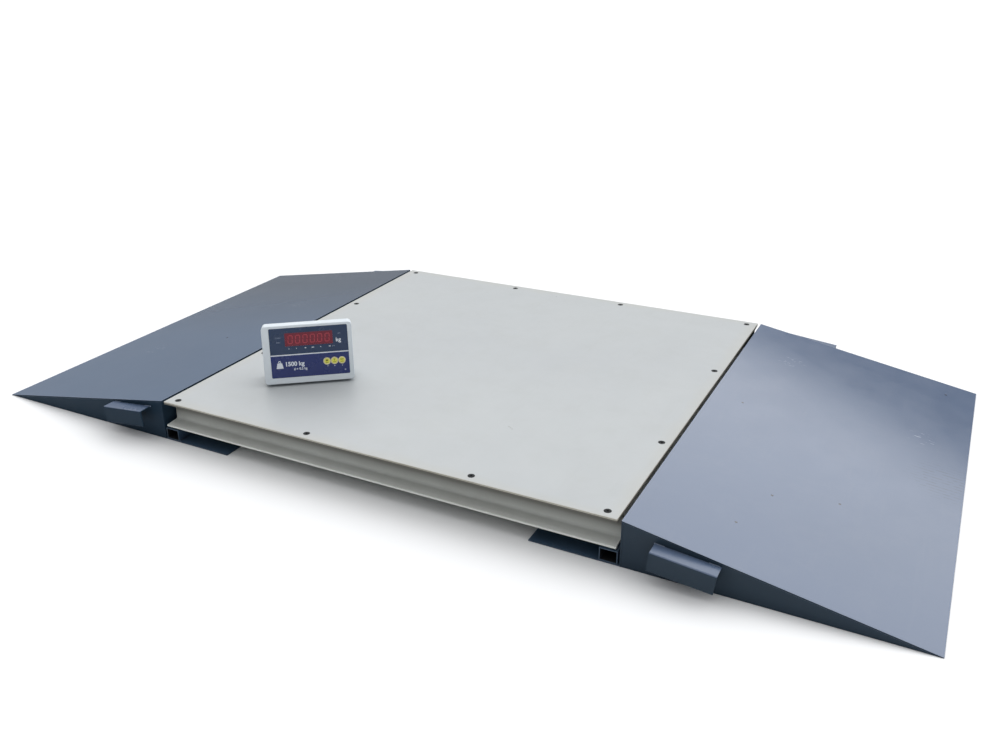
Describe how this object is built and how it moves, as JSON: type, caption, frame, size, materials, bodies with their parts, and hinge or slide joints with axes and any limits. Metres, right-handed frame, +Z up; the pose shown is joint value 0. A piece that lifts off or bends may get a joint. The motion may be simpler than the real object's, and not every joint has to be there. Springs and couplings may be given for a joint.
{
  "type": "pallet scale",
  "caption": "Low floor scale for pallets: a square weighing deck on four load cells, between two drive-on ramps with side handles, with a loose desk indicator.",
  "frame": {"origin": "on the floor, under the middle of the deck, which is the bottom centre of the whole object's box", "axes": "+X from the left ramp's tip to the right ramp's, +Y from the front to the back, +Z up"},
  "size_m": [2.4, 1.272, 0.2628],
  "materials": {
    "deck_paint": "light grey satin enamel over rolled steel",
    "screw_steel": "zinc-plated steel",
    "cell_steel": "nickel-plated steel",
    "pad_steel": "zinc-plated steel",
    "box_grey": "grey enamel on die casting",
    "board_green": "green circuit board",
    "black_plastic": "black moulded nylon",
    "black_rubber": "black rubber",
    "ramp_paint": "blue-grey semi-gloss enamel",
    "tongue_paint": "dark navy enamel",
    "housing_plastic": "fine-textured pale grey moulding",
    "panel_navy": "navy membrane sheet",
    "window_red": "dark red tinted filter",
    "display_module": "digit module with red segments",
    "battery_case": "moulded battery case",
    "rocker_red": "red moulded rocker",
    "key_yellow": "yellow soft-touch key"
  },
  "bodies": {
    "platform": {"deck_plate": "deck_paint", "deck_screws": "screw_steel", "channel_front": "deck_paint", "channel_back": "deck_paint", "channel_left": "deck_paint", "channel_right": "deck_paint", "cross_beams": "deck_paint", "cell_seats": "deck_paint", "load_cell_fl": "cell_steel", "load_cell_fr": "cell_steel", "load_cell_bl": "cell_steel", "load_cell_br": "cell_steel", "cell_bolts": "screw_steel", "foot_lock_nuts": "screw_steel", "junction_box": "box_grey", "junction_lid": "box_grey", "junction_screws": "screw_steel", "junction_board": "board_green", "cable_glands": "black_plastic", "beam_grommets": "black_rubber", "cell_cables": "black_rubber", "cable_outlet": "black_plastic"},
    "left_ramp": {"ramp_left_sheet": "ramp_paint", "ramp_left_sides": "ramp_paint", "ramp_left_end": "ramp_paint", "ramp_left_ribs": "ramp_paint", "ramp_left_tongue": "tongue_paint", "ramp_left_tube": "tongue_paint", "ramp_left_handle_front": "ramp_paint", "ramp_left_handle_back": "ramp_paint"},
    "right_ramp": {"ramp_right_sheet": "ramp_paint", "ramp_right_sides": "ramp_paint", "ramp_right_end": "ramp_paint", "ramp_right_ribs": "ramp_paint", "ramp_right_tongue": "tongue_paint", "ramp_right_tube": "tongue_paint", "ramp_right_handle_front": "ramp_paint", "ramp_right_handle_back": "ramp_paint"},
    "indicator": {"indicator_front": "housing_plastic", "indicator_back": "housing_plastic", "indicator_panel": "panel_navy", "indicator_window": "window_red", "indicator_digits": "display_module", "indicator_board": "board_green", "indicator_battery": "battery_case", "indicator_feet": "black_rubber", "indicator_screws": "screw_steel", "indicator_sockets": "black_plastic"},
    "power_switch": {"power_rocker": "rocker_red"},
    "key_left_cap": {"key_left": "key_yellow"},
    "key_middle_cap": {"key_middle": "key_yellow"},
    "key_right_cap": {"key_right": "key_yellow"},
    "foot_fl": {"foot_pad_fl": "pad_steel"},
    "stud_fl": {"foot_stud_fl": "screw_steel"},
    "foot_fr": {"foot_pad_fr": "pad_steel"},
    "stud_fr": {"foot_stud_fr": "screw_steel"},
    "foot_bl": {"foot_pad_bl": "pad_steel"},
    "stud_bl": {"foot_stud_bl": "screw_steel"},
    "foot_br": {"foot_pad_br": "pad_steel"},
    "stud_br": {"foot_stud_br": "screw_steel"}
  },
  "joints": [
    {"name": "left_ramp_pull", "type": "slide", "parent": "platform", "child": "left_ramp", "axis": [-1, 0, 0], "range_m": [0, 0.3]},
    {"name": "right_ramp_pull", "type": "slide", "parent": "platform", "child": "right_ramp", "axis": [1, 0, 0], "range_m": [0, 0.3]},
    {"name": "indicator_lift", "type": "slide", "parent": "platform", "child": "indicator", "axis": [0, 0, 1], "range_m": [0, 0.25]},
    {"name": "power_rocker_tilt", "type": "hinge", "parent": "indicator", "child": "power_switch", "pos_m": [-0.43363, -0.32994, 0.137], "axis": [0.7934, 0.6088, 0], "range_deg": [-14, 0]},
    {"name": "key_left_press", "type": "slide", "parent": "indicator", "child": "key_left_cap", "axis": [-0.5955, 0.776, -0.2079], "range_m": [0, 0.0008], "stiffness_N_per_m": 800, "springref_m": -0.0015},
    {"name": "key_middle_press", "type": "slide", "parent": "indicator", "child": "key_middle_cap", "axis": [-0.5955, 0.776, -0.2079], "range_m": [0, 0.0008], "stiffness_N_per_m": 800, "springref_m": -0.0015},
    {"name": "key_right_press", "type": "slide", "parent": "indicator", "child": "key_right_cap", "axis": [-0.5955, 0.776, -0.2079], "range_m": [0, 0.0008], "stiffness_N_per_m": 800, "springref_m": -0.0015},
    {"name": "foot_fl_level", "type": "slide", "parent": "platform", "child": "foot_fl", "axis": [0, 0, 1], "range_m": [0, 0.00525]},
    {"name": "stud_fl_turn", "type": "hinge", "parent": "foot_fl", "child": "stud_fl", "pos_m": [-0.49, -0.51, 0.05], "axis": [0, 0, 1], "range_deg": [0, 1080]},
    {"name": "foot_fr_level", "type": "slide", "parent": "platform", "child": "foot_fr", "axis": [0, 0, 1], "range_m": [0, 0.00525]},
    {"name": "stud_fr_turn", "type": "hinge", "parent": "foot_fr", "child": "stud_fr", "pos_m": [0.49, -0.51, 0.05], "axis": [0, 0, 1], "range_deg": [0, 1080]},
    {"name": "foot_bl_level", "type": "slide", "parent": "platform", "child": "foot_bl", "axis": [0, 0, 1], "range_m": [0, 0.00525]},
    {"name": "stud_bl_turn", "type": "hinge", "parent": "foot_bl", "child": "stud_bl", "pos_m": [-0.49, 0.51, 0.05], "axis": [0, 0, 1], "range_deg": [0, 1080]},
    {"name": "foot_br_level", "type": "slide", "parent": "platform", "child": "foot_br", "axis": [0, 0, 1], "range_m": [0, 0.00525]},
    {"name": "stud_br_turn", "type": "hinge", "parent": "foot_br", "child": "stud_br", "pos_m": [0.49, 0.51, 0.05], "axis": [0, 0, 1], "range_deg": [0, 1080]}
  ],
  "couplings": [
    {"joint": "stud_fl_turn", "follows": "foot_fl_level", "rad_per_m": 3590.4},
    {"joint": "stud_fr_turn", "follows": "foot_fr_level", "rad_per_m": 3590.4},
    {"joint": "stud_bl_turn", "follows": "foot_bl_level", "rad_per_m": 3590.4},
    {"joint": "stud_br_turn", "follows": "foot_br_level", "rad_per_m": 3590.4}
  ]
}
